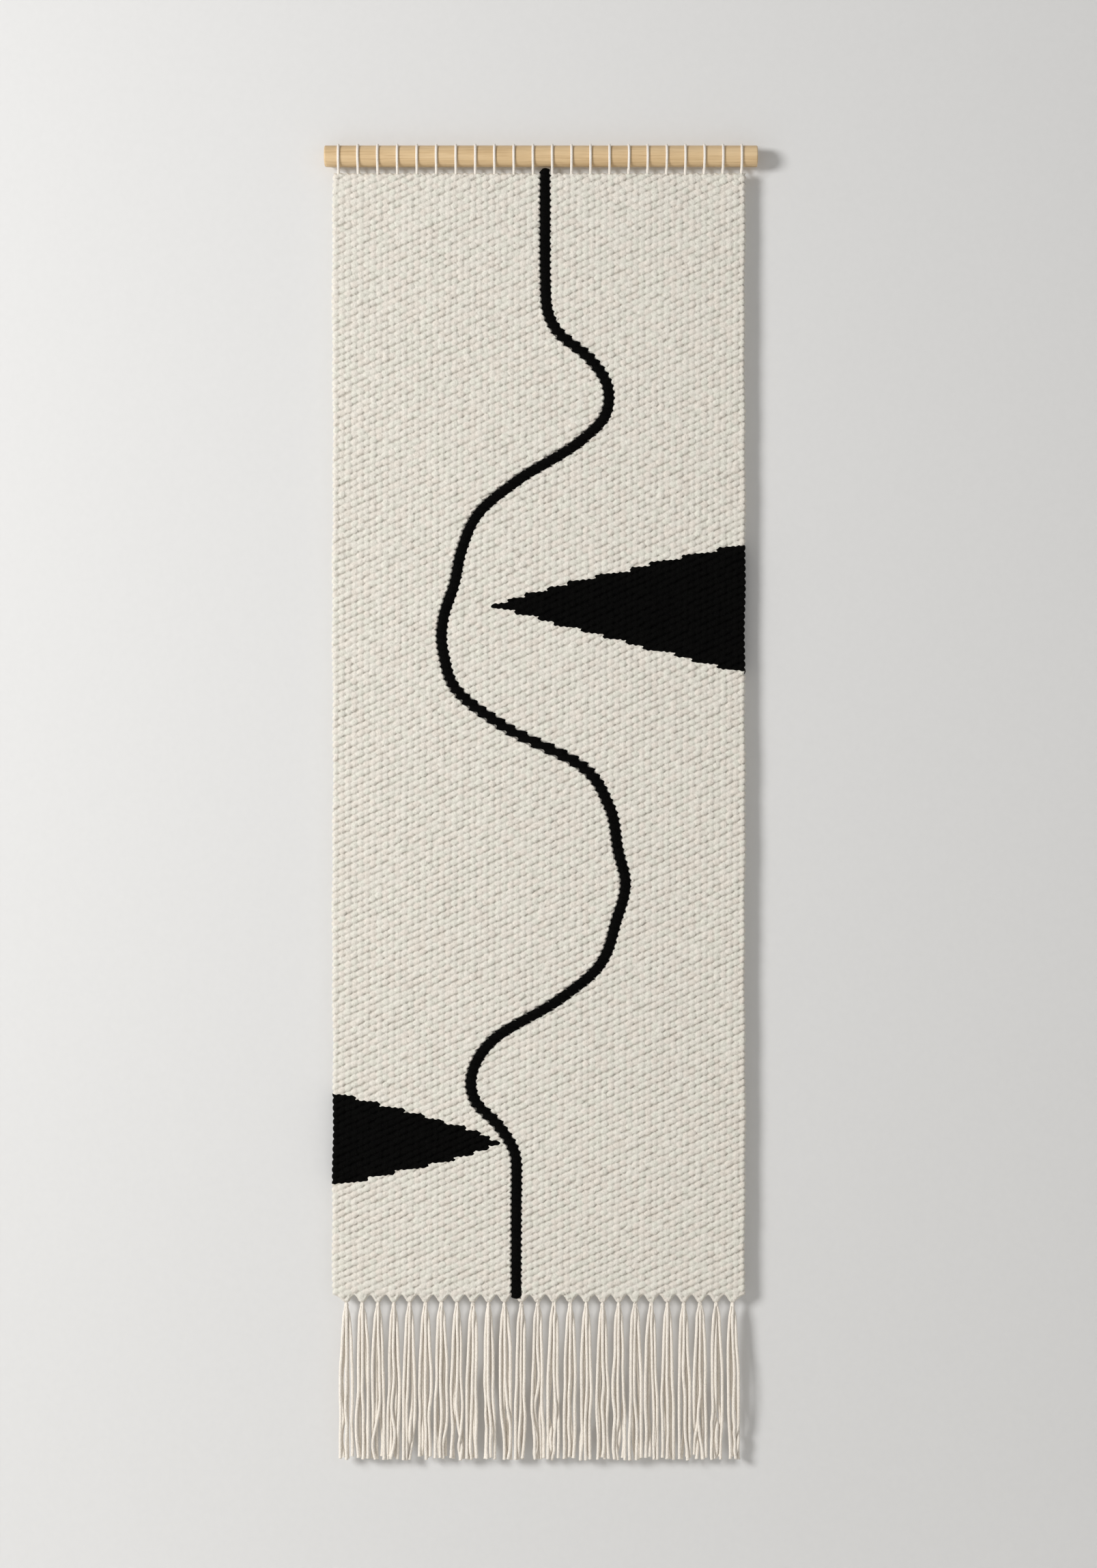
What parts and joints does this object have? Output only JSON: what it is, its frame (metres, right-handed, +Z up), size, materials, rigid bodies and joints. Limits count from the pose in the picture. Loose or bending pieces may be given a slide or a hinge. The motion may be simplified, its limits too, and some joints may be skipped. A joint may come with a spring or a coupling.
{
  "type": "tapestry wall hanging",
  "caption": "Long woven cream tapestry with a curving black line and two black wedges, hung by cord loops on a round wooden rod, with a tasselled fringe.",
  "frame": {"origin": "on the rod's axis, halfway along it, where the wall's hooks hold it up", "axes": "+Z up, +X along the rod to the right seen from the front, +Y to the wall; the front faces -Y"},
  "size_m": [0.508, 0.0318, 1.5458],
  "materials": {
    "wood": "satin",
    "loop_cord": "matte",
    "cream_yarn": "matte",
    "black_yarn": "matte",
    "fringe_cord": "matte"
  },
  "bodies": {
    "rod": {"rod": "wood"},
    "cloth": {"loop_01": "loop_cord", "loop_02": "loop_cord", "loop_03": "loop_cord", "loop_04": "loop_cord", "loop_05": "loop_cord", "loop_06": "loop_cord", "loop_07": "loop_cord", "loop_08": "loop_cord", "loop_09": "loop_cord", "loop_10": "loop_cord", "loop_11": "loop_cord", "loop_12": "loop_cord", "loop_13": "loop_cord", "loop_14": "loop_cord", "loop_15": "loop_cord", "loop_16": "loop_cord", "loop_17": "loop_cord", "loop_18": "loop_cord", "loop_19": "loop_cord", "loop_20": "loop_cord", "loop_21": "loop_cord", "loop_22": "loop_cord", "cream_left": "cream_yarn", "cream_right": "cream_yarn", "wedge_left": "black_yarn", "wedge_right": "black_yarn", "line": "black_yarn"},
    "tassel_01": {"tassel_01": "fringe_cord"},
    "tassel_02": {"tassel_02": "fringe_cord"},
    "tassel_03": {"tassel_03": "fringe_cord"},
    "tassel_04": {"tassel_04": "fringe_cord"},
    "tassel_05": {"tassel_05": "fringe_cord"},
    "tassel_06": {"tassel_06": "fringe_cord"},
    "tassel_07": {"tassel_07": "fringe_cord"},
    "tassel_08": {"tassel_08": "fringe_cord"},
    "tassel_09": {"tassel_09": "fringe_cord"},
    "tassel_10": {"tassel_10": "fringe_cord"},
    "tassel_11": {"tassel_11": "fringe_cord"},
    "tassel_12": {"tassel_12": "fringe_cord"},
    "tassel_13": {"tassel_13": "fringe_cord"},
    "tassel_14": {"tassel_14": "fringe_cord"},
    "tassel_15": {"tassel_15": "fringe_cord"},
    "tassel_16": {"tassel_16": "fringe_cord"},
    "tassel_17": {"tassel_17": "fringe_cord"},
    "tassel_18": {"tassel_18": "fringe_cord"},
    "tassel_19": {"tassel_19": "fringe_cord"},
    "tassel_20": {"tassel_20": "fringe_cord"},
    "tassel_21": {"tassel_21": "fringe_cord"},
    "tassel_22": {"tassel_22": "fringe_cord"},
    "tassel_23": {"tassel_23": "fringe_cord"},
    "tassel_24": {"tassel_24": "fringe_cord"},
    "tassel_25": {"tassel_25": "fringe_cord"}
  },
  "joints": [
    {"name": "cloth_swing", "type": "hinge", "parent": "rod", "child": "cloth", "pos_m": [0, 0, 0], "axis": [-1, 0, 0], "range_deg": [0, 45]},
    {"name": "tassel_01_swing", "type": "hinge", "parent": "cloth", "child": "tassel_01", "pos_m": [-0.2284, 0, -1.3445], "axis": [-1, 0, 0], "range_deg": [-3, 40]},
    {"name": "tassel_02_swing", "type": "hinge", "parent": "cloth", "child": "tassel_02", "pos_m": [-0.20984, 0, -1.3445], "axis": [-1, 0, 0], "range_deg": [-3, 40]},
    {"name": "tassel_03_swing", "type": "hinge", "parent": "cloth", "child": "tassel_03", "pos_m": [-0.19128, 0, -1.3445], "axis": [-1, 0, 0], "range_deg": [-3, 40]},
    {"name": "tassel_04_swing", "type": "hinge", "parent": "cloth", "child": "tassel_04", "pos_m": [-0.17273, 0, -1.3445], "axis": [-1, 0, 0], "range_deg": [-3, 40]},
    {"name": "tassel_05_swing", "type": "hinge", "parent": "cloth", "child": "tassel_05", "pos_m": [-0.15417, 0, -1.3445], "axis": [-1, 0, 0], "range_deg": [-3, 40]},
    {"name": "tassel_06_swing", "type": "hinge", "parent": "cloth", "child": "tassel_06", "pos_m": [-0.13561, 0, -1.3445], "axis": [-1, 0, 0], "range_deg": [-3, 40]},
    {"name": "tassel_07_swing", "type": "hinge", "parent": "cloth", "child": "tassel_07", "pos_m": [-0.11705, 0, -1.3445], "axis": [-1, 0, 0], "range_deg": [-3, 40]},
    {"name": "tassel_08_swing", "type": "hinge", "parent": "cloth", "child": "tassel_08", "pos_m": [-0.09849, 0, -1.3445], "axis": [-1, 0, 0], "range_deg": [-3, 40]},
    {"name": "tassel_09_swing", "type": "hinge", "parent": "cloth", "child": "tassel_09", "pos_m": [-0.07994, 0, -1.3445], "axis": [-1, 0, 0], "range_deg": [-3, 40]},
    {"name": "tassel_10_swing", "type": "hinge", "parent": "cloth", "child": "tassel_10", "pos_m": [-0.06138, 0, -1.3445], "axis": [-1, 0, 0], "range_deg": [-3, 40]},
    {"name": "tassel_11_swing", "type": "hinge", "parent": "cloth", "child": "tassel_11", "pos_m": [-0.04282, 0, -1.3445], "axis": [-1, 0, 0], "range_deg": [-3, 40]},
    {"name": "tassel_12_swing", "type": "hinge", "parent": "cloth", "child": "tassel_12", "pos_m": [-0.02282, 0, -1.3445], "axis": [-1, 0, 0], "range_deg": [-3, 40]},
    {"name": "tassel_13_swing", "type": "hinge", "parent": "cloth", "child": "tassel_13", "pos_m": [-0.00378, 0, -1.3445], "axis": [-1, 0, 0], "range_deg": [-3, 40]},
    {"name": "tassel_14_swing", "type": "hinge", "parent": "cloth", "child": "tassel_14", "pos_m": [0.01526, 0, -1.3445], "axis": [-1, 0, 0], "range_deg": [-3, 40]},
    {"name": "tassel_15_swing", "type": "hinge", "parent": "cloth", "child": "tassel_15", "pos_m": [0.0343, 0, -1.3445], "axis": [-1, 0, 0], "range_deg": [-3, 40]},
    {"name": "tassel_16_swing", "type": "hinge", "parent": "cloth", "child": "tassel_16", "pos_m": [0.05334, 0, -1.3445], "axis": [-1, 0, 0], "range_deg": [-3, 40]},
    {"name": "tassel_17_swing", "type": "hinge", "parent": "cloth", "child": "tassel_17", "pos_m": [0.07238, 0, -1.3445], "axis": [-1, 0, 0], "range_deg": [-3, 40]},
    {"name": "tassel_18_swing", "type": "hinge", "parent": "cloth", "child": "tassel_18", "pos_m": [0.09142, 0, -1.3445], "axis": [-1, 0, 0], "range_deg": [-3, 40]},
    {"name": "tassel_19_swing", "type": "hinge", "parent": "cloth", "child": "tassel_19", "pos_m": [0.11046, 0, -1.3445], "axis": [-1, 0, 0], "range_deg": [-3, 40]},
    {"name": "tassel_20_swing", "type": "hinge", "parent": "cloth", "child": "tassel_20", "pos_m": [0.1295, 0, -1.3445], "axis": [-1, 0, 0], "range_deg": [-3, 40]},
    {"name": "tassel_21_swing", "type": "hinge", "parent": "cloth", "child": "tassel_21", "pos_m": [0.14854, 0, -1.3445], "axis": [-1, 0, 0], "range_deg": [-3, 40]},
    {"name": "tassel_22_swing", "type": "hinge", "parent": "cloth", "child": "tassel_22", "pos_m": [0.16758, 0, -1.3445], "axis": [-1, 0, 0], "range_deg": [-3, 40]},
    {"name": "tassel_23_swing", "type": "hinge", "parent": "cloth", "child": "tassel_23", "pos_m": [0.18662, 0, -1.3445], "axis": [-1, 0, 0], "range_deg": [-3, 40]},
    {"name": "tassel_24_swing", "type": "hinge", "parent": "cloth", "child": "tassel_24", "pos_m": [0.20566, 0, -1.3445], "axis": [-1, 0, 0], "range_deg": [-3, 40]},
    {"name": "tassel_25_swing", "type": "hinge", "parent": "cloth", "child": "tassel_25", "pos_m": [0.2247, 0, -1.3445], "axis": [-1, 0, 0], "range_deg": [-3, 40]}
  ]
}
